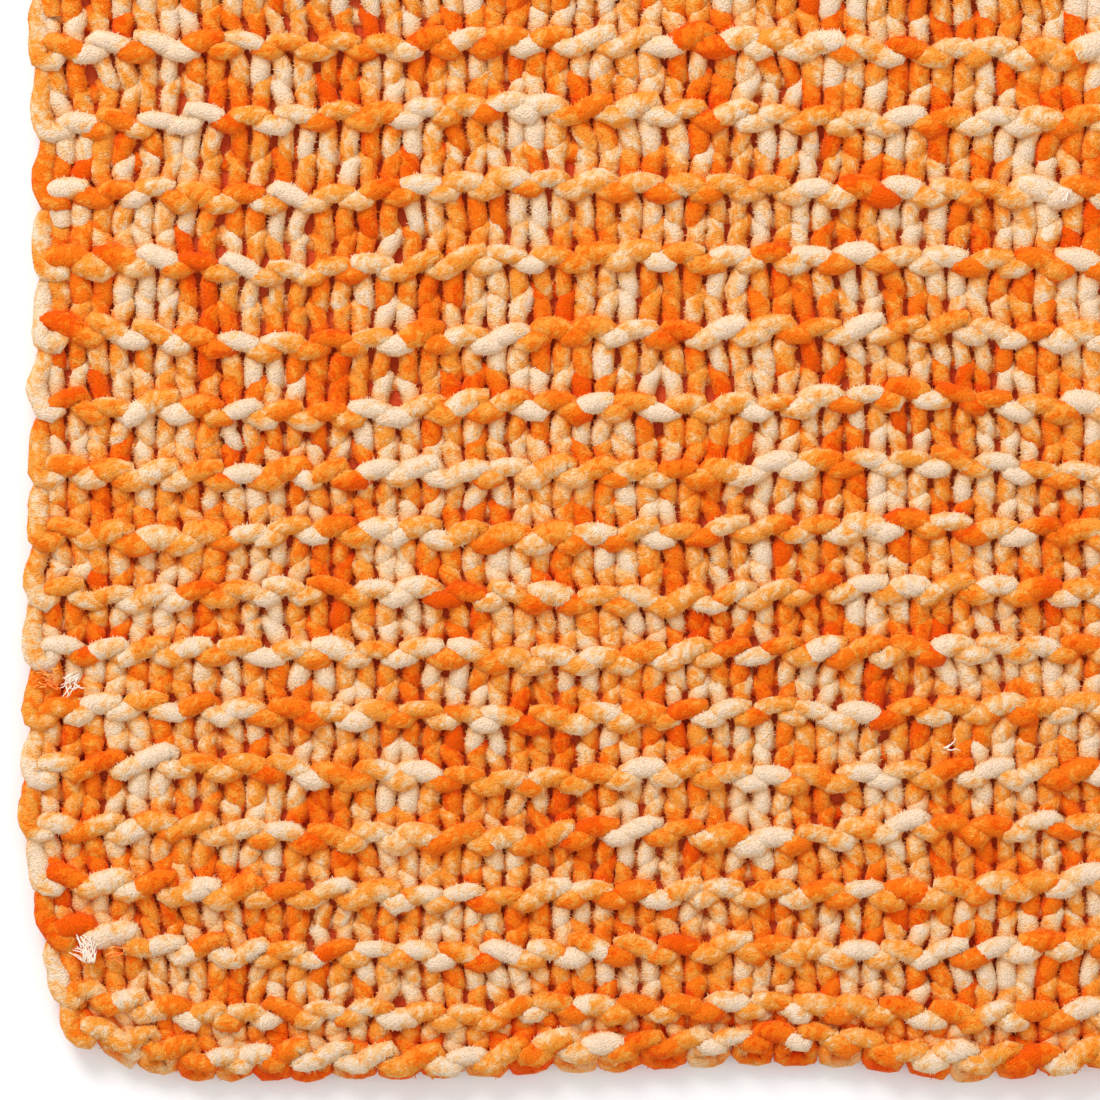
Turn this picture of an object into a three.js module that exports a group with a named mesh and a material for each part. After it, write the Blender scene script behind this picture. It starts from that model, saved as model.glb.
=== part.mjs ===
import * as THREE from "three";

// A small blanket knitted in one piece from thick plush yarn, lying flat.
// Every row is a knit row, so the face shows raised ridges with lower valleys between them.
// Sizes are in millimetres. X runs along the rows, Y runs up from the cast-on edge.

const STITCH = 13.0;            // width of one stitch
const STITCHES = 46;            // stitches in a row
const RIDGES = 31;              // raised ridges, two knitted rows each
const FIRST_PITCH = 11.4;       // the first ridge to the second
const TIGHT_PITCH = 17.4;       // ridge to ridge near the cast-on edge
const OPEN_PITCH = 20.8;        // ridge to ridge in the body
const LAST_TIGHT = 9;           // the ridge where the rows start to open out
const OPENING_RIDGES = 4;       // ridges over which they open out
const CAST_ON_MARGIN = 7.2;     // cast-on edge to the first ridge
const BIND_OFF_MARGIN = 8.0;    // last ridge to the bound-off edge
const RIDGE_TOP = 12.0;         // height of the face at a ridge
const VALLEY_TOP = 9.2;         // height of the face between ridges
const EDGE_SHARE = 0.86;        // share of that height left where the edge starts to round over
const SIDE_BULGE = 1.7;         // how far the side loops stand out beside each ridge
const EDGE_REACH = 95.0;        // how far into the cloth an uneven edge is felt
const FINE_COLUMNS = [9, 20, 34];  // distances of the closest columns from each side
const COLUMN = 36.0;            // width of the other columns

// How far the sides and ends are drawn in from a true rectangle.
const LEFT_SIDE = [
  { up: 0, drawn: 10.0 },
  { up: 9, drawn: 9.4 },
  { up: 20, drawn: 5.4 },
  { up: 30, drawn: 4.3 },
  { up: 42, drawn: 1.8 },
  { up: 54, drawn: -0.6 },
  { up: 74, drawn: -2.7 },
  { up: 100, drawn: -1.6 },
  { up: 130, drawn: -1.7 },
  { up: 160, drawn: -0.5 },
  { up: 190, drawn: 0.6 },
  { up: 235, drawn: 1.7 },
  { up: 280, drawn: 1.4 },
  { up: 310, drawn: -0.4 },
  { up: 375, drawn: 0.8 },
  { up: 440, drawn: 2.2 },
  { up: 500, drawn: 0.2 },
  { up: 560, drawn: 1.4 },
  { up: 590, drawn: 4.6 },
  { up: 610, drawn: 8.0 },
];
const RIGHT_SIDE = [
  { up: 0, drawn: 8.0 },
  { up: 18, drawn: 4.6 },
  { up: 45, drawn: 0.8 },
  { up: 95, drawn: -1.8 },
  { up: 170, drawn: 0.9 },
  { up: 250, drawn: 2.0 },
  { up: 340, drawn: -0.8 },
  { up: 420, drawn: -1.6 },
  { up: 500, drawn: 1.0 },
  { up: 570, drawn: 0.8 },
  { up: 610, drawn: 7.0 },
];
const CAST_ON_END = [
  { along: 0, drawn: 8.0 },
  { along: 11, drawn: 6.2 },
  { along: 25, drawn: 1.2 },
  { along: 48, drawn: -1.9 },
  { along: 90, drawn: -1.5 },
  { along: 126, drawn: -1.5 },
  { along: 150, drawn: 0.8 },
  { along: 200, drawn: 1.9 },
  { along: 236, drawn: 1.4 },
  { along: 272, drawn: -1.6 },
  { along: 292, drawn: 0.0 },
  { along: 310, drawn: 2.0 },
  { along: 370, drawn: 0.2 },
  { along: 430, drawn: -1.6 },
  { along: 500, drawn: 0.8 },
  { along: 560, drawn: -0.6 },
  { along: 585, drawn: 2.4 },
  { along: 600, drawn: 7.0 },
];
const BIND_OFF_END = [
  { along: 0, drawn: 7.0 },
  { along: 20, drawn: 2.2 },
  { along: 70, drawn: -0.8 },
  { along: 150, drawn: 0.9 },
  { along: 230, drawn: -1.2 },
  { along: 320, drawn: 0.6 },
  { along: 410, drawn: 1.4 },
  { along: 480, drawn: -0.9 },
  { along: 560, drawn: 0.4 },
  { along: 582, drawn: 2.4 },
  { along: 600, drawn: 7.5 },
];

// The rounded edge, from the face down to the flat back.
const EDGE_ROUND = [
  { inset: 0.5, share: 0.62 },
  { inset: 0.0, share: 0.36 },
  { inset: 1.6, share: 0.0 },
];
const FACE_INSET = 3.2;

// Height of the face through one ridge, by distance from its crest in ridge pitches.
const RIDGE_FORM = [
  { off: -0.5, rise: 0.0 },
  { off: -0.24, rise: 0.62 },
  { off: 0.0, rise: 1.0 },
  { off: 0.24, rise: 0.62 },
];

const WIDTH = STITCH * STITCHES;

function eased(t) {
  const c = Math.min(Math.max(t, 0), 1);
  return c * c * (3 - 2 * c);
}

function fromTable(table, key, at) {
  const last = table.length - 1;
  if (at <= table[0][key]) return table[0].drawn;
  if (at >= table[last][key]) return table[last].drawn;
  const i = table.findIndex((row) => row[key] > at);
  const low = table[i - 1];
  const high = table[i];
  const t = (at - low[key]) / (high[key] - low[key]);
  return low.drawn + (high.drawn - low.drawn) * eased(t);
}

function ridgePitch(ridge) {
  if (ridge === 1) return FIRST_PITCH;
  return TIGHT_PITCH + (OPEN_PITCH - TIGHT_PITCH) * eased((ridge - LAST_TIGHT) / OPENING_RIDGES);
}

function ridgeHeights() {
  const heights = [CAST_ON_MARGIN];
  for (let ridge = 1; ridge < RIDGES; ridge += 1) {
    heights.push(heights[ridge - 1] + ridgePitch(ridge));
  }
  return heights;
}

const CRESTS = ridgeHeights();
const LENGTH = CRESTS[RIDGES - 1] + BIND_OFF_MARGIN;

// Hand-knitted rows never run quite straight.
function rowWander(s, t) {
  const slow = Math.sin(s / 47 + t / 61) * 1.1;
  const quick = Math.sin(s / 21.3 - t / 33 + 1.7) * 0.7;
  return slow + quick;
}

function fade(distance) {
  return 1 - eased(distance / EDGE_REACH);
}

// Where a point of the true rectangle lies in the uneven blanket.
function placed(s, t, bulge) {
  const left = fromTable(LEFT_SIDE, "up", t) - bulge;
  const right = fromTable(RIGHT_SIDE, "up", t) - bulge;
  const low = fromTable(CAST_ON_END, "along", s);
  const high = fromTable(BIND_OFF_END, "along", s);
  const inside = Math.min(t, LENGTH - t) / 40;
  const wander = rowWander(s, t) * eased(inside);
  return {
    x: s + left * fade(s) - right * fade(WIDTH - s),
    y: t + low * fade(t) - high * fade(LENGTH - t) + wander,
  };
}

// The lines of the grid along Y: four to a ridge, then the last valley.
function gridLines() {
  const lines = [{ t: FACE_INSET, rise: 0.5, bulge: 0 }];
  CRESTS.forEach((crest, index) => {
    const pitch = ridgePitch(Math.max(index, 1));
    for (const step of RIDGE_FORM) {
      const t = crest + step.off * pitch;
      if (t > FACE_INSET + 1.5 && t < LENGTH - FACE_INSET - 1.5) {
        lines.push({ t, rise: step.rise, bulge: step.rise * SIDE_BULGE });
      }
    }
  });
  lines.push({ t: LENGTH - FACE_INSET, rise: 0.5, bulge: 0 });
  return lines;
}

function gridColumns() {
  const near = [FACE_INSET, ...FINE_COLUMNS];
  const start = near[near.length - 1];
  const count = Math.round((WIDTH - 2 * start) / COLUMN);
  const middle = [];
  for (let i = 1; i < count; i += 1) {
    middle.push(start + ((WIDTH - 2 * start) * i) / count);
  }
  const far = near.map((s) => WIDTH - s).reverse();
  return [...near, ...middle, ...far];
}

function buildBlanket() {
  const lines = gridLines();
  const columns = gridColumns();
  const across = columns.length;
  const points = [];
  const faces = [];

  // The ridged face.
  lines.forEach((line, row) => {
    columns.forEach((s, column) => {
      const at = placed(s, line.t, line.bulge);
      const onEdge = row === 0 || row === lines.length - 1 || column === 0 || column === across - 1;
      const height = VALLEY_TOP + (RIDGE_TOP - VALLEY_TOP) * line.rise;
      points.push([at.x, at.y, onEdge ? height * EDGE_SHARE : height]);
    });
  });
  for (let row = 0; row < lines.length - 1; row += 1) {
    for (let column = 0; column < across - 1; column += 1) {
      const a = row * across + column;
      const b = a + across;
      faces.push([a, a + 1, b + 1], [a, b + 1, b]);
    }
  }

  // Its outline, anticlockwise from the lower left corner.
  const top = lines.length - 1;
  const side = across - 1;
  const outline = [];
  for (let c = 0; c < side; c += 1) outline.push([0, c]);
  for (let r = 0; r < top; r += 1) outline.push([r, side]);
  for (let c = side; c > 0; c -= 1) outline.push([top, c]);
  for (let r = top; r > 0; r -= 1) outline.push([r, 0]);

  // The rounded edge, ring below ring.
  let upper = outline.map(([r, c]) => r * across + c);
  let lowest = [];
  for (const step of EDGE_ROUND) {
    const ring = [];
    for (const [r, c] of outline) {
      const line = lines[r];
      const height = VALLEY_TOP + (RIDGE_TOP - VALLEY_TOP) * line.rise;
      let s = columns[c];
      let t = line.t;
      if (c === 0) s = step.inset;
      if (c === side) s = WIDTH - step.inset;
      if (r === 0) t = step.inset;
      if (r === top) t = LENGTH - step.inset;
      const at = placed(s, t, line.bulge);
      ring.push(points.length);
      points.push([at.x, at.y, height * step.share]);
    }
    for (let i = 0; i < ring.length; i += 1) {
      const n = (i + 1) % ring.length;
      faces.push([upper[i], ring[i], ring[n]], [upper[i], ring[n], upper[n]]);
    }
    upper = ring;
    lowest = ring;
  }

  // The flat back.
  const flat = lowest.map((i) => new THREE.Vector2(points[i][0], points[i][1]));
  for (const [a, b, c] of THREE.ShapeUtils.triangulateShape(flat, [])) {
    faces.push([lowest[c], lowest[b], lowest[a]]);
  }

  const geometry = new THREE.BufferGeometry();
  geometry.setAttribute("position", new THREE.Float32BufferAttribute(points.flat(), 3));
  geometry.setIndex(faces.flat());
  geometry.computeBoundingBox();
  const box = geometry.boundingBox;
  geometry.translate(-(box.min.x + box.max.x) / 2, -(box.min.y + box.max.y) / 2, -box.min.z);
  geometry.computeVertexNormals();
  return geometry;
}

const yarn = new THREE.MeshStandardMaterial({ color: 0xf7b264, roughness: 0.95, metalness: 0 });
yarn.name = "plush_yarn";

const part = new THREE.Group();
part.name = "knitted_blanket";
const blanket = new THREE.Mesh(buildBlanket(), yarn);
blanket.name = "blanket";
part.add(blanket);

export default part;
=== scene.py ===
import math

import bpy
import numpy as np
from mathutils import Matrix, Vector


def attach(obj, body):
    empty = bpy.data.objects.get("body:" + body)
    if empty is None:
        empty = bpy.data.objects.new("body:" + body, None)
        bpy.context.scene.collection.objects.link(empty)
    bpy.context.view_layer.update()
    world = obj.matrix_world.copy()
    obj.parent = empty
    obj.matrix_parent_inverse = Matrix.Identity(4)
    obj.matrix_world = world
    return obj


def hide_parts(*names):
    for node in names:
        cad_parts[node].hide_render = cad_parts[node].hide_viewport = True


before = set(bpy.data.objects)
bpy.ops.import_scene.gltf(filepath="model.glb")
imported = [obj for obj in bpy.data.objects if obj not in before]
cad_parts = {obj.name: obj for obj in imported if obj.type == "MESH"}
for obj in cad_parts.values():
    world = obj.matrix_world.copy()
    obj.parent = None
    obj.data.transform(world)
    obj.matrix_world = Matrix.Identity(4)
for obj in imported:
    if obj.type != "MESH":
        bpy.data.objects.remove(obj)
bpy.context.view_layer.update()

# ---------------------------------------------------------------------------------------------
# THE KNITTED LOOPS
# The blanket is one run of thick plush yarn, knitted back and forth in rows of 46 stitches.
# Every row is a knit row, so the loop tops of every second row lie on the face as a ridge.
# The yarn is polyester chenille: a thin twisted core with a dense soft pile standing round it.
# ---------------------------------------------------------------------------------------------
MM = 0.001                       # the sizes below are in millimetres
STITCH = 12.8
STITCHES = 46
SELVEDGE = 4.6                   # width of the long side loops beyond the last stitch
RIDGES = 31
FIRST_PITCH = 11.4               # from the first ridge to the second
TIGHT_PITCH = 17.4               # from ridge to ridge near the cast-on edge
OPEN_PITCH = 20.8                # and where the knitting has loosened
LAST_TIGHT = 9
OPENING_RIDGES = 4
CAST_ON_MARGIN = 7.2
BIND_OFF_MARGIN = 8.0
EDGE_REACH = 95.0                # how far in from an edge its unevenness is felt
BACK_MIDDLE = (299.0, 297.6)     # the middle of the back, counted from the cast-on corner
BACK_LEVEL = 3.5                 # height of the yarn's core where a loop lies on the back
FACE_LEVEL = 8.4                 # and where it lies on the face
YARN = 2.7                       # half the yarn's thickness, without its standing fibres
LOOP_RISE = 1.45                 # how far a loop top lies above its row line, or a foot below
ROWS = 2 * RIDGES
WIDTH = STITCH * STITCHES + 2 * SELVEDGE

# How far each edge is drawn in from the true rectangle, along that edge.
LEFT_SIDE = [
    dict(up=0, drawn=10.0), dict(up=9, drawn=9.4), dict(up=20, drawn=5.4),
    dict(up=30, drawn=4.3), dict(up=42, drawn=1.8), dict(up=54, drawn=-0.6),
    dict(up=74, drawn=-2.7), dict(up=100, drawn=-1.6), dict(up=130, drawn=-1.7),
    dict(up=160, drawn=-0.5), dict(up=190, drawn=0.6), dict(up=235, drawn=1.7),
    dict(up=280, drawn=1.4), dict(up=310, drawn=-0.4), dict(up=375, drawn=0.8),
    dict(up=440, drawn=2.2), dict(up=500, drawn=0.2), dict(up=560, drawn=1.4),
    dict(up=590, drawn=4.6), dict(up=610, drawn=8.0),
]
RIGHT_SIDE = [
    dict(up=0, drawn=8.0), dict(up=18, drawn=4.6), dict(up=45, drawn=0.8),
    dict(up=95, drawn=-1.8), dict(up=170, drawn=0.9), dict(up=250, drawn=2.0),
    dict(up=340, drawn=-0.8), dict(up=420, drawn=-1.6), dict(up=500, drawn=1.0),
    dict(up=570, drawn=0.8), dict(up=610, drawn=7.0),
]
CAST_ON_END = [
    dict(along=0, drawn=8.0), dict(along=11, drawn=6.2), dict(along=25, drawn=1.2),
    dict(along=48, drawn=-1.9), dict(along=90, drawn=-1.5), dict(along=126, drawn=-1.5),
    dict(along=150, drawn=0.8), dict(along=200, drawn=1.9), dict(along=236, drawn=1.4),
    dict(along=272, drawn=-1.6), dict(along=292, drawn=0.0), dict(along=310, drawn=2.0),
    dict(along=370, drawn=0.2), dict(along=430, drawn=-1.6), dict(along=500, drawn=0.8),
    dict(along=560, drawn=-0.6), dict(along=585, drawn=2.4), dict(along=600, drawn=7.0),
]
BIND_OFF_END = [
    dict(along=0, drawn=7.0), dict(along=20, drawn=2.2), dict(along=70, drawn=-0.8),
    dict(along=150, drawn=0.9), dict(along=230, drawn=-1.2), dict(along=320, drawn=0.6),
    dict(along=410, drawn=1.4), dict(along=480, drawn=-0.9), dict(along=560, drawn=0.4),
    dict(along=582, drawn=2.4), dict(along=600, drawn=7.5),
]


def eased(share):
    share = np.clip(share, 0.0, 1.0)
    return share * share * (3.0 - 2.0 * share)


def drawn_in(table, key, at):
    keys = np.array([row[key] for row in table], float)
    values = np.array([row["drawn"] for row in table], float)
    at = np.clip(at, keys[0], keys[-1])
    i = np.clip(np.searchsorted(keys, at, side="right") - 1, 0, len(keys) - 2)
    share = eased((at - keys[i]) / (keys[i + 1] - keys[i]))
    return values[i] + (values[i + 1] - values[i]) * share


def ridge_pitch(ridge):
    if ridge == 1:
        return FIRST_PITCH
    opened = float(eased((ridge - LAST_TIGHT) / OPENING_RIDGES))
    return TIGHT_PITCH + (OPEN_PITCH - TIGHT_PITCH) * opened


crests = [CAST_ON_MARGIN]
for ridge in range(1, RIDGES):
    crests.append(crests[-1] + ridge_pitch(ridge))
LENGTH = crests[-1] + BIND_OFF_MARGIN

# Row lines: the cast-on edge, then by turns a ridge and the valley above it.
LOWEST_LINE = 5.0                # the line of the cast-on edge's strands
BOUND_LINE = 4.6                 # the last line, above the last ridge
row_lines = [LOWEST_LINE]
for ridge, crest in enumerate(crests):
    row_lines.append(crest)
    last = ridge + 1 == RIDGES
    row_lines.append(crest + BOUND_LINE if last else (crest + crests[ridge + 1]) / 2)
row_lines = np.array(row_lines)


def lies_at(s, t):
    """Where a point of the true rectangle lies in the uneven blanket, in metres."""
    near_left = 1 - eased(s / EDGE_REACH)
    near_right = 1 - eased((WIDTH - s) / EDGE_REACH)
    near_low = 1 - eased(t / EDGE_REACH)
    near_high = 1 - eased((LENGTH - t) / EDGE_REACH)
    wander = np.sin(s / 47 + t / 61) * 1.1 + np.sin(s / 21.3 - t / 33 + 1.7) * 0.7
    wander = wander * eased(np.minimum(t, LENGTH - t) / 40)
    x = s + drawn_in(LEFT_SIDE, "up", t) * near_left
    x = x - drawn_in(RIGHT_SIDE, "up", t) * near_right
    y = t + drawn_in(CAST_ON_END, "along", s) * near_low
    y = y - drawn_in(BIND_OFF_END, "along", s) * near_high + wander
    return (x - BACK_MIDDLE[0]) * MM, (y - BACK_MIDDLE[1]) * MM


# Half a stitch, from the strand at its foot to the middle of its top. rises is how far a point
# lies above the row line at its end, in loop rises; lift goes from 0 at the back to 1 at the
# face, for a row whose tops lie on the face.
STITCH_FORM = [
    dict(across=6.4, end="foot", rises=-1.00, lift=0.00, girth=1.17),
    dict(across=4.3, end="foot", rises=-1.05, lift=0.03, girth=1.10),
    dict(across=2.7, end="foot", rises=-0.60, lift=0.23, girth=1.00),
    dict(across=2.8, end="foot", rises=1.10, lift=0.51, girth=1.06),
    dict(across=3.2, end="leg", rises=0.00, lift=0.55, girth=1.09),
    dict(across=3.5, end="top", rises=-1.60, lift=0.50, girth=1.06),
    dict(across=4.8, end="top", rises=-0.40, lift=0.60, girth=0.94),
    dict(across=5.3, end="top", rises=0.40, lift=0.84, girth=0.96),
    dict(across=3.1, end="top", rises=0.85, lift=0.98, girth=1.10),
    dict(across=0.0, end="top", rises=0.95, lift=1.00, girth=1.17),
]

# The side loop, from where it leaves the ridge to where it enters the next row in the valley.
# It shows beside the valley and curls in under the ridge; share is of the way from ridge to
# valley.
SIDE_LOOP = [
    dict(inward=8.2, low=-2.6, share=0.0, lift=0.95, girth=1.08),
    dict(inward=5.6, low=-2.9, share=0.0, lift=0.90, girth=1.20),
    dict(inward=3.6, low=-1.2, share=0.0, lift=0.82, girth=1.26),
    dict(inward=3.0, low=1.4, share=0.35, lift=0.68, girth=1.22),
    dict(inward=3.3, low=0.0, share=1.1, lift=0.56, girth=1.10),
    dict(inward=4.4, low=-1.0, share=1.75, lift=0.46, girth=1.00),
    dict(inward=5.8, low=0.0, share=1.65, lift=0.20, girth=0.95),
    dict(inward=7.4, low=0.0, share=1.2, lift=0.04, girth=0.98),
]

CAST_ON_ACROSS = {1: 3.4, 2: 2.1, 3: 2.5}    # by place in STITCH_FORM, for the first row

chance = np.random.default_rng(7)
LINES = ROWS + 1


def uneven(lines, columns, drifting, own):
    """Hand-made unevenness: some of it drifts from row to row, some is each stitch's own."""
    alone = chance.normal(0, 1, (lines, columns))
    drift = chance.normal(0, 1, (lines + 8, columns + 8))
    window = np.hanning(7)[1:-1]
    window = window / np.sqrt((window ** 2).sum())
    drift = np.apply_along_axis(lambda line: np.convolve(line, window, "same"), 0, drift)
    drift = np.apply_along_axis(lambda line: np.convolve(line, window, "same"), 1, drift)
    return drifting * drift[4:4 + lines, 4:4 + columns] + own * alone


# The first stitches of each row, and the first rows, are the least even.
untidy = 1 + 1.0 * np.exp(-np.arange(STITCHES + 1) / 1.4)[None, :]
untidy = untidy + 0.6 * np.exp(-np.arange(LINES) / 2.5)[:, None]
untidy[0] = 0.3
slid = uneven(LINES, STITCHES, 0.7, 0.55) * untidy[:, 1:]
raised = uneven(LINES, STITCHES, 0.75, 0.5) * untidy[:, 1:]
leg_lean = uneven(LINES, STITCHES, 0.2, 0.35)
STEEPEST = 24                    # degrees that a loop's top or foot may tilt
top_tilt = np.clip(3 + uneven(LINES, STITCHES, 7, 9) * untidy[:, 1:], -STEEPEST, STEEPEST)
top_tilt = np.tan(np.radians(top_tilt))
foot_tilt = np.clip(3 + uneven(LINES, STITCHES + 1, 7, 9) * untidy, -STEEPEST, STEEPEST)
foot_tilt = np.tan(np.radians(foot_tilt))
fullness = np.clip(1 + uneven(LINES, STITCHES, 0.06, 0.09), 0.86, 1.25)
side_uneven = uneven(LINES, len(SIDE_LOOP), 0.3, 0.5)


def half_stitch(row, side):
    """Core points of one side of every stitch of a row, foot to top: (stitches, points, 4)."""
    columns = np.arange(STITCHES)
    middle = SELVEDGE + (columns + 0.5) * STITCH
    beside = np.clip(columns + side, 0, STITCHES - 1)
    strand = columns + (side > 0)
    tops_on_face = row % 2 == 0
    out = np.zeros((STITCHES, len(STITCH_FORM), 4))
    for k, form in enumerate(STITCH_FORM):
        line = row + 1 if form["end"] == "top" else row
        # Along the cast-on edge the strands between stitches lie longer and close the edge.
        reach = side * (CAST_ON_ACROSS.get(k, form["across"]) if row == 0 else form["across"])
        if form["end"] == "leg":
            x = middle + reach + (slid[row] + slid[row + 1]) / 2 + leg_lean[row]
            y = (row_lines[row] + row_lines[row + 1]) / 2 + (raised[row] + raised[row + 1]) / 2
        else:
            x = middle + reach + slid[line]
            y = row_lines[line] + raised[line] + form["rises"] * LOOP_RISE
        if form["end"] == "top" and form["lift"] > 0.8:
            y = y + top_tilt[line] * reach
        if k < 2:
            # The strand between two stitches lies between their two places.
            share = 0.5 if k == 0 else 0.25
            x = x + (slid[line][beside] - slid[line]) * share
            y = y + (raised[line][beside] - raised[line]) * share
            y = y + foot_tilt[line][strand] * (reach - side * STITCH / 2)
        lift = form["lift"] if tops_on_face else 1 - form["lift"]
        out[:, k, 0] = x
        out[:, k, 1] = y
        out[:, k, 2] = BACK_LEVEL + (FACE_LEVEL - BACK_LEVEL) * lift
        out[:, k, 3] = form["girth"] * fullness[line]
    return out


def row_path(row):
    """The yarn's core along one row, first stitch to last, then up the side to the next row."""
    rightward = row % 2 == 0
    way = 1 if rightward else -1
    first, last = half_stitch(row, -way), half_stitch(row, way)
    stitches = range(STITCHES)[::way]
    path = []
    for i in stitches:
        starts = 2 if i == stitches[0] else 1
        path.append(first[i, starts:])
        ends = -2 if i == stitches[-1] else None
        path.append(last[i, ::-1][1:ends])
    ridge_line, valley_line = (row + 1, row) if rightward else (row, row + 1)
    ridge_y, tall = row_lines[ridge_line], row_lines[valley_line] - row_lines[ridge_line]
    edge = WIDTH if rightward else 0.0
    turn = np.array([
        [edge - way * (side["inward"] + side_uneven[row, n]),
         ridge_y + side["low"] + side["share"] * tall,
         BACK_LEVEL + (FACE_LEVEL - BACK_LEVEL) * side["lift"],
         side["girth"]]
        for n, side in enumerate(SIDE_LOOP)
    ])
    path.append(turn[::-1] if rightward else turn)
    return np.concatenate(path)


def smooth_path(points, finer=6):
    """A smooth curve through the points."""
    p = np.concatenate([2 * points[:1] - points[1:2], points, 2 * points[-1:] - points[-2:-1]])
    a, b, c, d = p[:-3, None], p[1:-2, None], p[2:-1, None], p[3:, None]
    t = (np.arange(finer) / finer)[None, :, None]
    curve = 0.5 * (
        2 * b + (c - a) * t + (2 * a - 5 * b + 4 * c - d) * t ** 2
        + (3 * b - a - 3 * c + d) * t ** 3
    )
    return np.concatenate([curve.reshape(-1, points.shape[1]), points[-1:]])


def walked(path):
    steps = np.linalg.norm(np.diff(path[:, :3], axis=0), axis=1)
    return np.concatenate([[0.0], np.cumsum(steps)])


def in_steps(path, step):
    """The same curve with its points a given distance apart, which may differ along it."""
    run = walked(path)
    step = np.broadcast_to(step, len(path))
    count = np.concatenate([[0.0], np.cumsum(np.diff(run) / ((step[1:] + step[:-1]) / 2))])
    marks = np.linspace(0, count[-1], max(int(round(count[-1])), 4) + 1)
    at = np.interp(marks, count, run)
    return np.stack([np.interp(at, run, path[:, k]) for k in range(path.shape[1])], 1), at


def plain_steps(path):
    """Distances from ring to ring that are short on bends and long on straight legs."""
    run = walked(path)
    along = np.gradient(path[:, :3], run, axis=0)
    along /= np.linalg.norm(along, axis=1)[:, None]
    bend = np.linalg.norm(np.gradient(along, run, axis=0), axis=1)
    step = np.clip(PLAIN_BEND / np.maximum(bend, 1e-6), 2.8, 7.0)
    return np.convolve(np.pad(step, 3, "edge"), np.ones(7) / 7, "valid")


def soft_noise(at, length, seed):
    """Smooth chance along the yarn, about -1 to 1."""
    table = np.random.default_rng(seed).uniform(-1, 1, 4096)
    cell = at / length
    i = np.floor(cell).astype(int)
    return table[i % 4096] + (table[(i + 1) % 4096] - table[i % 4096]) * eased(cell - i)


def yarn_frame(core):
    """Middle, direction, sideways and upward vectors of the yarn along its core."""
    x, y = lies_at(core[:, 0], core[:, 1])
    middle = np.stack([x, y, core[:, 2] * MM], 1)
    along = np.gradient(middle, axis=0)
    along /= np.linalg.norm(along, axis=1)[:, None]
    up = np.array([0.0, 0.0, 1.0]) - along * along[:, 2:3]
    up /= np.maximum(np.linalg.norm(up, axis=1), 1e-9)[:, None]
    return middle, along, np.cross(along, up), up


FLATTENED = 0.95                 # the yarn is pressed a little flatter than it is wide


def on_surface(middle, across, up, reach, angle):
    """Points on the yarn's surface, at angles measured from its upper side."""
    side = across[:, None] * (reach * np.sin(angle))[:, :, None]
    rise = up[:, None] * (reach * np.cos(angle) * FLATTENED)[:, :, None]
    return middle[:, None] + side + rise


# What shows from above: the highest yarn over each small cell of the blanket.
CELL = 0.8                       # width of a cell
CELLS = 840                      # cells along each side of the square that holds them


def cell_of(place):
    i = ((place[..., 0] / MM) / CELL + CELLS / 2).astype(int)
    j = ((place[..., 1] / MM) / CELL + CELLS / 2).astype(int)
    return np.clip(i, 0, CELLS - 1), np.clip(j, 0, CELLS - 1)


curves = [smooth_path(row_path(row)) for row in range(ROWS)]
highest = np.zeros((CELLS, CELLS))
for curve in curves:
    core, at = in_steps(curve, 0.9)
    middle, along, across, up = yarn_frame(core)
    angle = np.radians(np.arange(-80, 81, 20))[None, :]
    place = on_surface(middle, across, up, YARN * MM * core[:, 3:4], angle)
    np.maximum.at(highest, cell_of(place), place[:, :, 2])


def spread(heights, cells):
    """The highest value within a few cells of each."""
    for axis in (0, 1):
        shifted = [np.roll(heights, n, axis) for n in range(-cells, cells + 1)]
        heights = np.max(shifted, axis=0)
    return heights


around = spread(highest, 3)
for axis in (0, 1):
    around = sum(np.roll(around, n, axis) for n in range(-2, 3)) / 5
SHALLOW, DEEP_IN = 0.8, 5.8      # how far below its surroundings painted shade starts, and where it is full


def shelter(place):
    """How deep a point lies between the loops, from 0 to 1, seen from either side, for painted shade.
    """
    below = around[cell_of(place)] - place[..., 2]
    nearer = np.minimum(below, place[..., 2] - 0.3 * MM) / MM
    return np.clip((nearer - SHALLOW) / (DEEP_IN - SHALLOW), 0, 1)


def shows(place, angle, nearly=1.0):
    """Which points of the yarn are seen from above, or nearly so."""
    allowed = (0.8 + 1.4 * np.sin(angle) ** 2) * nearly * MM
    return place[..., 2] > highest[cell_of(place)] - allowed


# Angles round the yarn from its upper side, closer together where it shows.
FINE_ROUND = [0, 36, 68, 100, 180, 260, 292, 324]
PLAIN_ROUND = [0, 50, 105, 180, 255, 310]
SEEN_STEP = 2.3                  # from ring to ring where the yarn shows
PLAIN_BEND = 0.72                # radians of bend from ring to ring elsewhere
VIEW_RIGHT = 322.0               # fibres are made as far as this from the left side
VIEW_TOP = 318.0                 # and from the cast-on edge
ROW_YARN = 2142.0                # length of yarn in one row
DYE_REPEAT = ROW_YARN / 17       # length in which the dye runs from cream to orange and back
YARN_TWIST = 58.0                # length of yarn in which its dyed side goes once round it
FIBRES = 3                       # tufts of fibres standing on each facet at the yarn's sides
FIBRE_LOW, FIBRE_HIGH = 0.4, 1.05
FIBRE_WIDE = 0.32                # half the width of a tuft of fibres at its foot


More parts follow.
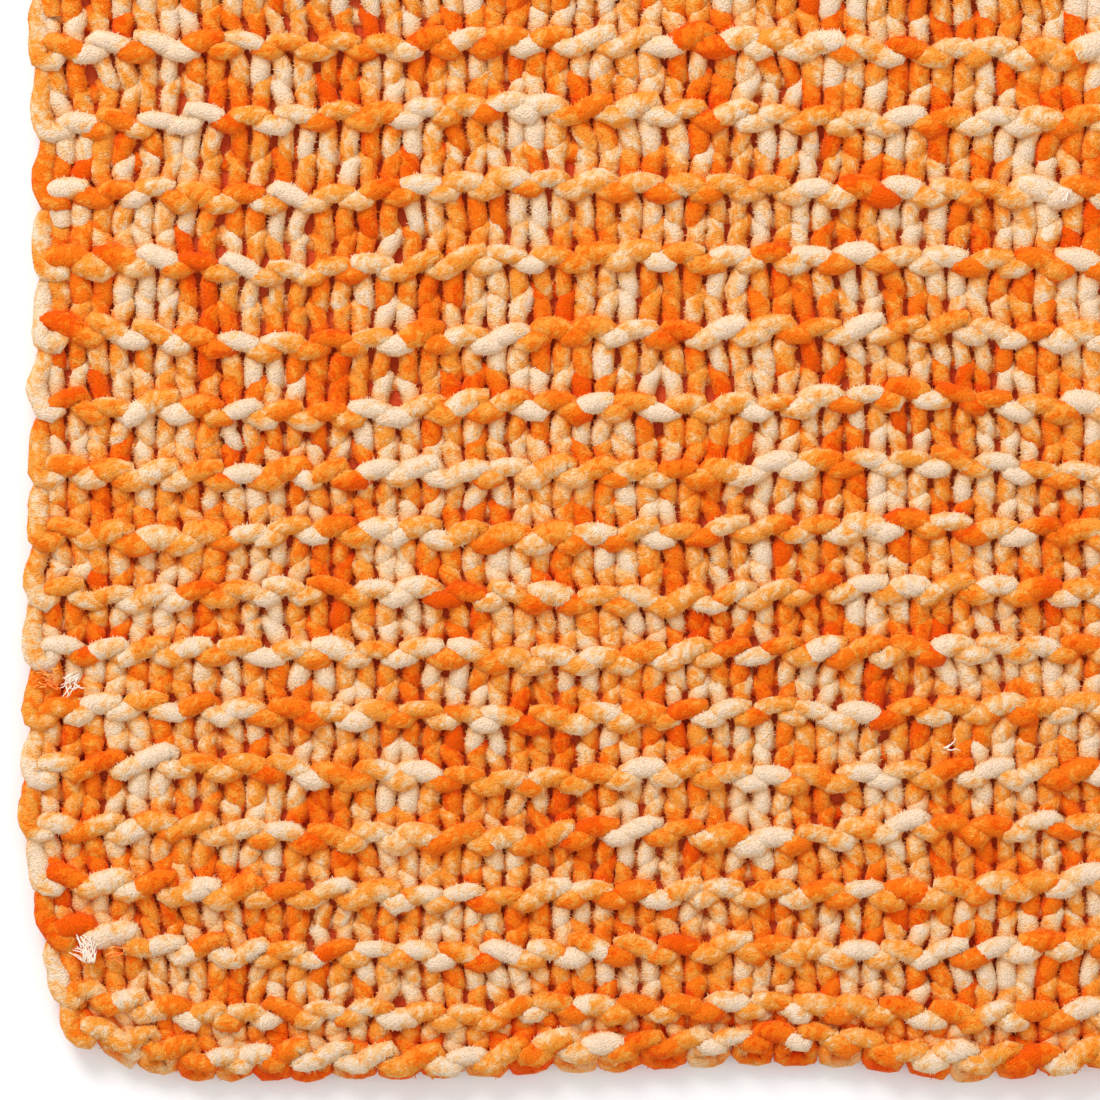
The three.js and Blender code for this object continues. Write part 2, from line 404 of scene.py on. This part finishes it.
def standing_fibres(feet, outward, along, straight, rng):
    """Closed pointed tufts of fibres: points, places on the straight yarn, tips, faces, normals."""
    count = len(feet)
    sideways = np.cross(outward, along)
    lean = along * rng.normal(0, 0.45, (count, 1)) + sideways * rng.normal(0, 0.35, (count, 1))
    points_to = outward + lean
    tall = rng.uniform(FIBRE_LOW, FIBRE_HIGH, (count, 1)) * MM
    turn = rng.uniform(0, 2 * np.pi, count)
    made = []
    for corner in range(3):
        at = (turn + corner * 2 * np.pi / 3)[:, None]
        made.append(feet + (along * np.cos(at) + sideways * np.sin(at)) * FIBRE_WIDE * MM
                    - outward * 0.35 * MM)
    made.append(feet + points_to * tall)
    first = np.arange(count)
    faces = [np.stack([first + a * count, first + b * count, first + c * count], 1)
             for a, b, c in ((0, 1, 3), (1, 2, 3), (2, 0, 3), (0, 2, 1))]
    tips = np.concatenate([np.zeros(3 * count), np.ones(count)])
    upward = points_to + np.array([0.0, 0.0, 0.5])
    return (np.concatenate(made), np.tile(straight, (4, 1)), tips, np.concatenate(faces),
            np.tile(upward, (4, 1)))


def plush_tube(core, run, seen, rng):
    """A closed tube of pile round a core in millimetres, with fibres standing where it shows."""
    middle, along, across, up = yarn_frame(core)
    round_at = FINE_ROUND if seen else PLAIN_ROUND
    rings, sides = len(middle), len(round_at)
    angle = np.radians(np.array(round_at, float))[None, :] + np.zeros((rings, 1))
    girth = YARN * core[:, 3] * (1 + 0.05 * soft_noise(run, 4.3, 31)
                                 + 0.05 * soft_noise(run, 11.0, 32))
    lump = 1 + rng.normal(0, 0.045, (rings, sides))
    place = on_surface(middle, across, up, girth[:, None] * lump * MM, angle)
    if seen:
        place += along[:, None] * rng.normal(0, 0.3, (rings, sides, 1)) * MM
    place[:, :, 2] = np.maximum(place[:, :, 2], 0.2 * MM)
    ends = np.stack([middle[0] - along[0] * YARN * MM / 2, middle[-1] + along[-1] * YARN * MM / 2])

    k = np.arange(sides)
    after = (k + 1) % sides
    ring = np.arange(rings - 1)[:, None] * sides
    quads = np.stack([ring + k, ring + after, ring + sides + after, ring + sides + k], 2)
    first, far = rings * sides, (rings - 1) * sides
    threes = np.concatenate([
        np.stack([after, k, np.full(sides, first)], 1),
        np.stack([far + k, far + after, np.full(sides, first + 1)], 1),
    ])
    # Where the corners of each three-sided face lie, counted in rings and in sides.
    cap_rings = np.array([[0, 0, 0.3]]) * np.ones((sides, 1))
    on_map = np.stack([
        np.concatenate([cap_rings, rings - 1 - cap_rings]),
        np.concatenate([np.stack([k + 1, k, k + 0.5], 1), np.stack([k, k + 1, k + 0.5], 1)]),
    ], 2)
    straight = np.stack([
        run[:, None] + np.zeros((1, sides)),
        YARN * np.cos(angle + run[:, None] * 2 * np.pi / YARN_TWIST),
        YARN * np.sin(angle + run[:, None] * 2 * np.pi / YARN_TWIST),
    ], 2).reshape(-1, 3)
    straight = np.concatenate([straight, [[run[0], 0, 0], [run[-1], 0, 0]]])
    points = np.concatenate([place.reshape(-1, 3), ends])
    round_off = on_surface(middle * 0, across, up, np.ones((rings, 1)), angle).reshape(-1, 3)
    normals = np.concatenate([round_off, -along[:1], along[-1:]])
    tips = np.full(len(points), 0.5)
    if not seen:
        return points, straight, tips, quads.reshape(-1, 4), threes, normals, on_map, rings

    facing = (angle[:-1] + np.roll(angle, -1, 1)[:-1]) / 2
    facing[:, -1] -= np.pi
    centre = points[quads].mean(2)
    close = np.linalg.norm(np.diff(middle, axis=0), axis=1) < SEEN_STEP * 1.3 * MM
    at_side = (np.cos(facing) < 0.7) & (np.cos(facing) > -0.2)
    bears = shows(centre, facing, 0.7) & close[:, None] & at_side
    which = np.repeat(np.flatnonzero(bears.ravel()), FIBRES)
    corners = quads.reshape(-1, 4)[which]
    u = rng.uniform(0, 1, (len(which), 1))
    v = rng.uniform(0, 1, (len(which), 1))
    share = np.stack([(1 - u) * (1 - v), (1 - u) * v, u * v, u * (1 - v)], 1)
    feet = (points[corners] * share).sum(1)
    place_on = (straight[corners] * share).sum(1)
    outward = (normals[corners] * share).sum(1)
    outward /= np.linalg.norm(outward, axis=1)[:, None]
    # At the blanket's own edge the pile is pressed flat, so no fibres stand out beyond it.
    inside = highest[cell_of(feet + outward * 1.2 * MM)] > 0
    which, feet, place_on, outward = which[inside], feet[inside], place_on[inside], outward[inside]
    foot_at = np.stack([which // sides + u[inside, 0], which % sides + v[inside, 0]], 1)
    foot_spot = np.array([[-0.05, -0.1], [0.05, -0.1], [0.0, 0.1]])
    on_map = np.concatenate([on_map, np.tile(foot_at[:, None] + foot_spot, (4, 1, 1))])
    grows = standing_fibres(feet, outward, along[which // sides], place_on, rng)
    threes = np.concatenate([threes, grows[3] + len(points)])
    return (np.concatenate([points, grows[0]]), np.concatenate([straight, grows[1]]),
            np.concatenate([tips, grows[2]]), quads.reshape(-1, 4), threes,
            np.concatenate([normals, grows[4]]), on_map, rings)


def yarn_map(tubes):
    """The yarn's surface laid out flat in strips one above the other, in a square."""
    sides = [len(tube[3]) // (tube[7] - 1) for tube in tubes]
    before = np.cumsum([0] + [tube[7] for tube in tubes])
    strips = max(int(math.sqrt(before[-1] * 2.6 / (2 * math.pi * YARN))), 1)
    strip_rings = before[-1] / strips

    def laid(corners, n):
        ring = corners[:, :, 0] + before[n]
        strip = np.floor(ring.min(1) / strip_rings)[:, None]
        flat = np.stack([(ring - strip * strip_rings) / (strip_rings + 1),
                         (strip + 0.04 + 0.92 * corners[:, :, 1] / sides[n]) / (strips + 1)], 2)
        return np.clip(flat.reshape(-1, 2), 0, 1)

    fours, threes = [], []
    for n, tube in enumerate(tubes):
        ring, side = np.divmod(np.arange(len(tube[3])), sides[n])
        corners = np.stack([
            np.stack([ring, ring, ring + 1, ring + 1], 1),
            np.stack([side, side + 1, side + 1, side], 1),
        ], 2)
        fours.append(laid(corners, n))
        threes.append(laid(tube[6], n))
    return np.concatenate(fours + threes)


def plush_mesh(name, tubes):
    """Several closed tubes as one mesh, with the attributes that carry colour and pile."""
    offset = np.cumsum([0] + [len(tube[0]) for tube in tubes])
    points = np.concatenate([tube[0] for tube in tubes])
    fours = np.concatenate([tube[3] + offset[n] for n, tube in enumerate(tubes)])
    threes = np.concatenate([tube[4] + offset[n] for n, tube in enumerate(tubes)])
    mesh = bpy.data.meshes.new(name)
    mesh.vertices.add(len(points))
    mesh.vertices.foreach_set("co", points.ravel())
    corners = np.concatenate([fours.ravel(), threes.ravel()])
    mesh.loops.add(len(corners))
    mesh.loops.foreach_set("vertex_index", corners.astype(np.int32))
    starts = np.concatenate([np.arange(len(fours)) * 4,
                             len(fours) * 4 + np.arange(len(threes)) * 3])
    mesh.polygons.add(len(starts))
    mesh.polygons.foreach_set("loop_start", starts.astype(np.int32))
    mesh.polygons.foreach_set("use_smooth", np.ones(len(starts), bool))
    mesh.update(calc_edges=True)
    normals = np.concatenate([tube[5] for tube in tubes])
    normals /= np.linalg.norm(normals, axis=1)[:, None]
    mesh.normals_split_custom_set_from_vertices(normals)

    mesh.uv_layers.new(name="OFBake").data.foreach_set("uv", yarn_map(tubes).ravel())

    # on_yarn is where each point lies on the straight yarn; pile_tip is 1 at the fibres' tips,
    # and the third attribute is 1 deep between the loops, where shade is painted into the colour.
    on_yarn = mesh.attributes.new("on_yarn", "FLOAT_VECTOR", "POINT")
    straight = np.concatenate([tube[1] for tube in tubes])
    on_yarn.data.foreach_set("vector", straight.astype(np.float32).ravel())
    pile_tip = mesh.attributes.new("pile_tip", "FLOAT", "POINT")
    how_far = np.concatenate([tube[2] for tube in tubes])
    pile_tip.data.foreach_set("value", how_far.astype(np.float32))
    painted_shade = mesh.attributes.new("painted_shade", "FLOAT", "POINT")
    painted_shade.data.foreach_set("value", shelter(points).astype(np.float32))
    return mesh


class Wire:
    """A socket of a material that can be used in sums."""

    def __init__(self, tree, socket):
        self.tree = tree
        self.socket = socket

    def node(self, kind, settings=None, **inputs):
        made = self.tree.nodes.new(kind)
        for name, value in (settings or {}).items():
            if name == "stops":
                ramp = made.color_ramp
                while len(ramp.elements) > 1:
                    ramp.elements.remove(ramp.elements[-1])
                for n, (at, colour) in enumerate(value):
                    stop = ramp.elements[0] if n == 0 else ramp.elements.new(at)
                    stop.position = at
                    stop.color = (*colour, 1.0)
            else:
                setattr(made, name, value)
        for name, value in inputs.items():
            key = int(name[1:]) if name[0] == "_" else name.replace("_", " ")
            socket = made.inputs[key]
            if isinstance(value, Wire):
                self.tree.links.new(value.socket, socket)
            else:
                socket.default_value = value
        return made

    def maths(self, operation, *values):
        made = self.node("ShaderNodeMath", dict(operation=operation),
                         **{f"_{n}": v for n, v in enumerate(values)})
        return Wire(self.tree, made.outputs[0])

    def __add__(self, other):
        return self.maths("ADD", self, other)

    def __radd__(self, other):
        return self.maths("ADD", other, self)

    def __sub__(self, other):
        return self.maths("SUBTRACT", self, other)

    def __rsub__(self, other):
        return self.maths("SUBTRACT", other, self)

    def __mul__(self, other):
        return self.maths("MULTIPLY", self, other)

    def __rmul__(self, other):
        return self.maths("MULTIPLY", other, self)

    def cosine(self):
        return self.maths("COSINE", self)

    def scaled(self, by):
        """This vector with each axis multiplied, or this colour made paler or deeper."""
        made = self.node("ShaderNodeVectorMath", dict(operation="MULTIPLY"), _0=self, _1=by)
        return Wire(self.tree, made.outputs[0])

    def dot(self, by):
        """How far this place lies along a direction."""
        made = self.node("ShaderNodeVectorMath", dict(operation="DOT_PRODUCT"), _0=self, _1=by)
        return Wire(self.tree, made.outputs["Value"])

    def noise(self, scale, detail=2.0, rough=0.5, seed=0.0):
        """Noise at this place, with features of about 1 / scale."""
        moved = self.node("ShaderNodeVectorMath", dict(operation="ADD"), _0=self,
                          _1=(seed * 7.3, seed * 3.1, seed * 5.7))
        made = self.node("ShaderNodeTexNoise", Vector=Wire(self.tree, moved.outputs[0]),
                         Scale=scale, Detail=detail, Roughness=rough)
        return Wire(self.tree, made.outputs["Fac"])

    def cells(self, scale):
        """How far this place is from the nearest of many scattered points 1 / scale apart."""
        made = self.node("ShaderNodeTexVoronoi", dict(feature="F1"), Vector=self, Scale=scale)
        return Wire(self.tree, made.outputs["Distance"])

    def ramp(self, stops):
        made = self.node("ShaderNodeValToRGB", dict(stops=stops), _0=self)
        return Wire(self.tree, made.outputs[0])


def new_finish(name):
    """A new material, a wire that starts its tree, and its shader."""
    material = bpy.data.materials.new(name)
    material.use_nodes = True
    tree = material.node_tree
    return material, Wire(tree, None), tree.nodes["Principled BSDF"]


CREAM = (0.95, 0.775, 0.62)
HONEY = (0.96, 0.675, 0.395)
PEACH = (0.96, 0.54, 0.215)
AMBER = (0.96, 0.385, 0.055)
ORANGE = (0.96, 0.22, 0.010)
DEEP = (0.90, 0.12, 0.002)
DYE_DRIFT = 8.5                  # how far the repeat drifts, in radians of it


def plush_yarn():
    """Space-dyed chenille: cream, honey, peach, amber and orange lengths, mottled where they meet."""
    material, start, shader = new_finish("plush_yarn")
    attribute = start.node("ShaderNodeAttribute", dict(attribute_name="on_yarn"))
    place = Wire(start.tree, attribute.outputs["Vector"])
    tip = start.node("ShaderNodeAttribute", dict(attribute_name="pile_tip"))
    tip = Wire(start.tree, tip.outputs["Fac"])
    depth = start.node("ShaderNodeAttribute", dict(attribute_name="painted_shade"))
    depth = Wire(start.tree, depth.outputs["Fac"])
    # The dye repeats along the yarn, at places that drift, with splashes of chance on top.
    drift = place.scaled((1 / 3500, 0.0, 0.0)).noise(1.0, 0.0, 0.5, 2.0)
    repeat = (place.dot((2 * math.pi / DYE_REPEAT, 0.0, 0.0)) + drift * DYE_DRIFT).cosine()
    patches = place.scaled((0.030, 0.05, 0.05)).noise(1.0, 0.0, 0.5, 3.0)
    smaller = place.scaled((0.10, 0.11, 0.11)).noise(1.0, 0.0, 0.5, 9.0)
    mottle = place.noise(0.45, 1.0, 0.5, 5.0)
    crumbs = place.noise(1.3, 0.0, 0.5, 7.0)
    nap = place.noise(2.4, 1.0, 0.6, 4.0)
    clumps = 1.0 - place.scaled((2.0, 1.8, 1.8)).cells(1.0)
    shade = repeat * 0.23 + (patches - 0.5) * 1.2 + (smaller - 0.5) * 0.7 + 0.50
    shade = shade + (mottle - 0.5) * 0.75 + (crumbs - 0.5) * 0.2
    colour = shade.ramp([
        (0.00, CREAM), (0.24, CREAM), (0.34, HONEY), (0.45, PEACH), (0.56, AMBER),
        (0.64, AMBER), (0.76, ORANGE), (0.90, ORANGE), (1.0, DEEP),
    ])
    # Painted shade at the fibres' feet: the colour there is deeper and redder, and the tips paler.
    root = tip.ramp([(0.0, (1.0, 0.9, 0.7)), (0.6, (1.0, 1.0, 1.0))])
    # Painted shade deep between the loops: the colour is made deeper and redder where shade falls.
    painted_crevice_shade = depth.ramp([(0.0, (1.0, 1.0, 1.0)), (0.15, (1.0, 0.96, 0.86)), (0.4, (1.02, 0.80, 0.52)),
                        (0.7, (1.04, 0.50, 0.16)), (1.0, (1.08, 0.12, 0.01))])
    # Painted shade in the hollows of the pile: darker and warmer between the clumps, where the bump
    # sinks.
    painted_clump_shade = (clumps + nap * 0.9 - 0.2).ramp([
        (0.50, (0.89, 0.81, 0.70)), (1.0, (1.0, 1.0, 1.0)),
    ])
    colour = colour.scaled(root).scaled(painted_crevice_shade).scaled(painted_clump_shade)
    start.tree.links.new(colour.socket, shader.inputs["Base Color"])
    shader.inputs["Roughness"].default_value = 0.9
    shader.inputs["Specular IOR Level"].default_value = 0.05
    shader.inputs["Sheen Weight"].default_value = 0.15
    shader.inputs["Sheen Roughness"].default_value = 0.4
    shader.inputs["Sheen Tint"].default_value = (1.0, 0.66, 0.36, 1.0)
    shader.inputs["Diffuse Roughness"].default_value = 0.5
    ribs = place.scaled((1.0, 0.3, 0.3)).noise(1.0, 0.0, 0.6, 2.0)
    height = ribs * 0.2 + clumps * 0.45 + nap * 0.3
    bump = start.node("ShaderNodeBump", Height=height, Distance=0.0010, Strength=1.0)
    start.tree.links.new(bump.outputs[0], shader.inputs["Normal"])
    return material


yarn_finish = plush_yarn()

# Every row takes up the same length of yarn, however closely it lies.
whole_yarn = np.concatenate(curves)
rows_walked = [walked(curve) for curve in curves]
whole_run = np.concatenate([(row + way / way[-1]) * ROW_YARN for row, way in enumerate(rows_walked)])
in_view = (whole_yarn[:, 0] < VIEW_RIGHT) & (whole_yarn[:, 1] < VIEW_TOP)
cuts = np.flatnonzero(np.diff(in_view.astype(int))) + 1
stretches = np.split(np.arange(len(whole_yarn)), cuts)
chance = np.random.default_rng(21)
near_tubes, far_tubes = [], []
for stretch in stretches:
    if len(stretch) < 12:
        continue
    near = in_view[stretch[0]]
    path = whole_yarn[stretch[0]:stretch[-1] + 2]
    step = plain_steps(path)
    if near:
        middle, along, across, up = yarn_frame(path)
        angle = np.radians([-70, -35, 0, 35, 70])[None, :]
        place = on_surface(middle, across, up, YARN * MM * path[:, 3:4], angle)
        seen = shows(place, angle).any(1)
        seen = np.convolve(seen, np.ones(3), "same") > 0
        step = np.where(seen, SEEN_STEP, step)
    core, at = in_steps(path, step)
    run = np.interp(at, walked(path), whole_run[stretch[0]:stretch[-1] + 2])
    tube = plush_tube(core, run, near, chance)
    (near_tubes if near else far_tubes).append(tube)

# The last row is bound off: each link of the chain comes up through the one before it, lies
# along the edge as two strands, and is held down by the head of the link before.
CHAIN_ABOVE = 4.4                # how far the chain's middle lies above the last ridge
CHAIN_LINK = [
    dict(along=0.00, aside=0.0, up=4.6), dict(along=0.22, aside=1.9, up=6.3),
    dict(along=0.62, aside=2.7, up=8.2), dict(along=1.02, aside=2.1, up=9.0),
    dict(along=1.26, aside=0.0, up=9.2), dict(along=1.02, aside=-2.1, up=9.0),
    dict(along=0.62, aside=-2.7, up=8.2), dict(along=0.30, aside=-1.5, up=6.2),
    dict(along=0.62, aside=-0.2, up=4.4),
]
chain_uneven = uneven(STITCHES, 2, 0.35, 0.4)
chain = []
for stitch in range(STITCHES):
    for link in CHAIN_LINK:
        chain.append([
            SELVEDGE + (stitch - 0.1 + link["along"]) * STITCH + chain_uneven[stitch, 0],
            crests[-1] + CHAIN_ABOVE + link["aside"] + chain_uneven[stitch, 1],
            link["up"],
            0.86,
        ])
chain = smooth_path(np.array(chain))
core, at = in_steps(chain, plain_steps(chain))
far_tubes.append(plush_tube(core, at + whole_run[-1] + 40.0, False, chance))

MOST_TRIANGLES = 195000          # in one piece
pieces = []


def triangles(tube):
    return 2 * len(tube[3]) + len(tube[4])


def loops_piece(tubes):
    """One piece of the knitting, from the stretches of yarn that it is made of."""
    name = f"loops_{len(pieces) + 1}"
    mesh = plush_mesh(name, tubes)
    piece = bpy.data.objects.new(name, mesh)
    bpy.context.scene.collection.objects.link(piece)
    mesh.materials.append(yarn_finish)
    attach(piece, "root")
    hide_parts("blanket")
    pieces.append(piece)


for group in (near_tubes, far_tubes):
    together, size = [], 0
    for tube in group:
        if size + triangles(tube) > MOST_TRIANGLES:
            loops_piece(together)
            together, size = [], 0
        together.append(tube)
        size += triangles(tube)
    loops_piece(together)

# ---------------------------------------------------------------------------------------------
# THE FRAYED YARN ENDS
# Near the left side cut ends of the yarn come up between the stitches, and a few threads show
# further in. Their pile has shed, so the white core threads are bare, with loose orange ones.
# ---------------------------------------------------------------------------------------------
FRAYS = [
    dict(along=14.6, up=114.8, threads=16, spread=4.2, long=4.0, lean=250, white=True),
    dict(along=8.0, up=115.0, threads=24, spread=6.5, long=2.8, lean=160, white=False),
    dict(along=13.6, up=29.0, threads=22, spread=3.2, long=6.5, lean=95, white=True),
    dict(along=13.0, up=33.0, threads=12, spread=3.4, long=3.5, lean=100, white=True),
    dict(along=20.0, up=32.5, threads=6, spread=3.0, long=7.0, lean=5, white=False),
    dict(along=299.3, up=254.0, threads=6, spread=1.4, long=4.0, lean=80, white=True),
    dict(along=265.0, up=95.5, threads=3, spread=1.8, long=5.0, lean=35, white=True),
]
THREAD = 0.21                    # half the thickness of a bare thread
THREAD_SIDES = 5
THREAD_STEPS = 8


def fray_mesh(name, frays, rng):
    """Fine curling threads as closed tubes, lying on top of the loops."""
    points, faces = [], []
    for fray in frays:
        for thread in range(fray["threads"]):
            strewn = rng.uniform(-0.5, 0.5, 2) * fray["spread"]
            start = np.array([fray["along"], fray["up"]]) + strewn
            turn = math.radians(fray["lean"]) + rng.normal(0, 0.5)
            long = fray["long"] * rng.uniform(0.55, 1.1)
            share = np.linspace(0, 1, THREAD_STEPS + 1)
            bend = rng.normal(0, 0.8) * share ** 2 + rng.normal(0, 0.25) * np.sin(share * 9)
            heading = turn + bend
            step = long / THREAD_STEPS
            s_at = start[0] + np.concatenate([[0], np.cumsum(np.cos(heading[1:]) * step)])
            t_at = start[1] + np.concatenate([[0], np.cumsum(np.sin(heading[1:]) * step)])
            x, y = lies_at(s_at, t_at)
            flat = np.stack([x, y, x * 0], 1)
            top = float(around[cell_of(flat)].max())
            rise = top + (0.1 + 0.9 * np.sin(share * math.pi) * rng.uniform(0.3, 1.0)) * MM
            core = np.stack([x, y, rise], 1)
            along = np.gradient(core, axis=0)
            along /= np.linalg.norm(along, axis=1)[:, None]
            across = np.cross(along, [0.0, 0.0, 1.0])
            across /= np.linalg.norm(across, axis=1)[:, None]
            up = np.cross(across, along)
            reach = THREAD * MM * (1.15 - 0.5 * share)
            first = sum(len(part) for part in points)
            for side in range(THREAD_SIDES):
                at = side * 2 * math.pi / THREAD_SIDES
                points.append(core + (across * math.sin(at) + up * math.cos(at)) * reach[:, None])
            rings = len(core)
            ring_ends = [[], []]
            for side in range(THREAD_SIDES):
                here = first + side * rings
                there = first + (side + 1) % THREAD_SIDES * rings
                ring_ends[0].append(here)
                ring_ends[1].append(here + rings - 1)
                faces += [(here + n, here + n + 1, there + n + 1, there + n)
                          for n in range(rings - 1)]
            faces += [tuple(ring_ends[0]), tuple(ring_ends[1][::-1])]
    mesh = bpy.data.meshes.new(name)
    mesh.from_pydata(np.concatenate(points).tolist(), [], faces)
    mesh.polygons.foreach_set("use_smooth", np.ones(len(faces), bool))
    return mesh


def thread_finish(name, dark, pale):
    material, start, shader = new_finish(name)
    place = Wire(start.tree, start.node("ShaderNodeTexCoord").outputs["Object"])
    colour = place.noise(700.0, 1.0, 0.5, 3.0).ramp([(0.35, dark), (0.65, pale)])
    start.tree.links.new(colour.socket, shader.inputs["Base Color"])
    shader.inputs["Roughness"].default_value = 0.7
    return material


fray_chance = np.random.default_rng(5)
for name, white, dark, pale in (
    ("bare_threads", True, (0.90, 0.72, 0.56), (0.95, 0.87, 0.76)),
    ("shed_pile", False, (0.92, 0.18, 0.01), (0.96, 0.45, 0.09)),
):
    fray = fray_mesh(name, [row for row in FRAYS if row["white"] == white], fray_chance)
    frayed = bpy.data.objects.new(name, fray)
    bpy.context.scene.collection.objects.link(frayed)
    fray.materials.append(thread_finish(name, dark, pale))
    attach(frayed, "root")
    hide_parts("blanket")
    pieces.append(frayed)

# ---------------------------------------------------------------------------------------------
# THE MATTED PLUSH BETWEEN THE LOOPS, COLOURED AS PAINTED SHADE
# Pile from neighbouring loops meshes between them and closes the fabric. It is built as one thin
# sheet at half depth, sagging a little in each valley, and its dark red is painted shade for the
# gaps.
# ---------------------------------------------------------------------------------------------
GROUND_LEVEL = 4.9               # height of the sheet's upper side under a ridge
GROUND_THICK = 1.2
GROUND_INSET = 5.0               # how far it stays inside the sides
GROUND_SAG = 0.9                 # how much lower it lies under a valley
GROUND_COLUMNS = 61


def matted_ground():
    s_at = np.linspace(GROUND_INSET, WIDTH - GROUND_INSET, GROUND_COLUMNS)
    t_at = np.sort(np.concatenate([row_lines[1:-1], (row_lines[1:-2] + row_lines[2:-1]) / 2]))
    s_all, t_all = np.meshgrid(s_at, t_at)
    x, y = lies_at(s_all, t_all)
    parity = np.tile([1.0, 0.5, 0.0, 0.5], len(t_at))[:len(t_at)]
    z = GROUND_LEVEL - GROUND_SAG * (1 - parity)[:, None] + 0.25 * np.sin(s_all / 17 + t_all / 23)
    top = np.stack([x, y, z * MM], 2).reshape(-1, 3)
    low = top - np.array([0, 0, GROUND_THICK * MM])
    rows, across = len(t_at), len(s_at)
    j = np.arange(rows - 1)[:, None]
    k = np.arange(across - 1)[None, :]
    quads = np.stack([j * across + k, j * across + k + 1,
                      (j + 1) * across + k + 1, (j + 1) * across + k], 2).reshape(-1, 4)
    rim = np.concatenate([
        np.arange(across - 1), across - 1 + np.arange(rows - 1) * across,
        rows * across - 1 - np.arange(across - 1), (rows - 1 - np.arange(rows - 1)) * across,
    ])
    after = np.roll(rim, -1)
    total = rows * across
    sides = np.stack([after, rim, rim + total, after + total], 1)
    faces = np.concatenate([quads, quads[:, ::-1] + total, sides])
    mesh = bpy.data.meshes.new("matted_plush_painted_shade")
    mesh.from_pydata(np.concatenate([top, low]).tolist(), [], faces.tolist())
    mesh.polygons.foreach_set("use_smooth", np.ones(len(faces), bool))
    return mesh, (s_at[-1] - s_at[0], t_at[-1] - t_at[0])


def painted_shade_ground_finish():
    material, start, shader = new_finish("painted_shade_ground")
    place = Wire(start.tree, start.node("ShaderNodeTexCoord").outputs["Object"])
    # The sheet's dark red, darker than any of the yarn's dye, is painted shade for the deep gaps.
    patches = place.noise(70.0, 2.0, 0.5, 1.0)
    colour = patches.ramp([(0.35, (0.66, 0.065, 0.010)), (0.65, (0.74, 0.11, 0.020))])
    start.tree.links.new(colour.socket, shader.inputs["Base Color"])
    shader.inputs["Roughness"].default_value = 0.95
    pile = place.noise(900.0, 2.0, 0.6, 2.0)
    bump = start.node("ShaderNodeBump", Height=pile, Distance=0.001, Strength=0.7)
    start.tree.links.new(bump.outputs[0], shader.inputs["Normal"])
    return material


ground_mesh, ground_flat = matted_ground()
ground = bpy.data.objects.new("matted_plush_painted_shade", ground_mesh)
bpy.context.scene.collection.objects.link(ground)
ground_mesh.materials.append(painted_shade_ground_finish())
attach(ground, "root")
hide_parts("blanket")

# ---------------------------------------------------------------------------------------------
# FLOOR, LIGHTS AND CAMERA
# A plain white table top under soft light from the upper left, seen from straight above.
# ---------------------------------------------------------------------------------------------
floor_mesh = bpy.data.meshes.new("table_top")
floor_mesh.from_pydata([(-3, -3, 0), (3, -3, 0), (3, 3, 0), (-3, 3, 0)], [], [(0, 1, 2, 3)])
floor = bpy.data.objects.new("table_top", floor_mesh)
bpy.context.scene.collection.objects.link(floor)
floor_finish, floor_start, floor_shader = new_finish("table_white")
floor_shader.inputs["Base Color"].default_value = (0.97, 0.97, 0.97, 1)
floor_shader.inputs["Roughness"].default_value = 0.8
floor_mesh.materials.append(floor_finish)

world = bpy.data.worlds.new("studio")
bpy.context.scene.world = world
world.use_nodes = True
world.node_tree.nodes["Background"].inputs["Color"].default_value = (1, 1, 1, 1)
world.node_tree.nodes["Background"].inputs["Strength"].default_value = 0.83


def lamp(name, place, aim, size, power):
    data = bpy.data.lights.new(name, "AREA")
    data.shape = "SQUARE"
    data.size = size
    data.energy = power
    made = bpy.data.objects.new(name, data)
    made.location = place
    made.rotation_euler = (Vector(aim) - Vector(place)).to_track_quat("-Z", "Y").to_euler()
    bpy.context.scene.collection.objects.link(made)


lamp("window", (-0.9, 1.5, 1.5), (0, 0, 0), 1.0, 36)

camera_data = bpy.data.cameras.new("camera")
camera_data.lens = 200
camera_data.sensor_width = 36
camera_data.clip_start = 0.01
camera_data.clip_end = 20
camera = bpy.data.objects.new("camera", camera_data)
camera.location = ((150.9 - BACK_MIDDLE[0]) * MM, (152.6 - BACK_MIDDLE[1]) * MM, 1.777)
bpy.context.scene.collection.objects.link(camera)
bpy.context.scene.camera = camera
bpy.context.scene.view_settings.view_transform = "Standard"
bpy.context.scene.cycles.diffuse_bounces = 8
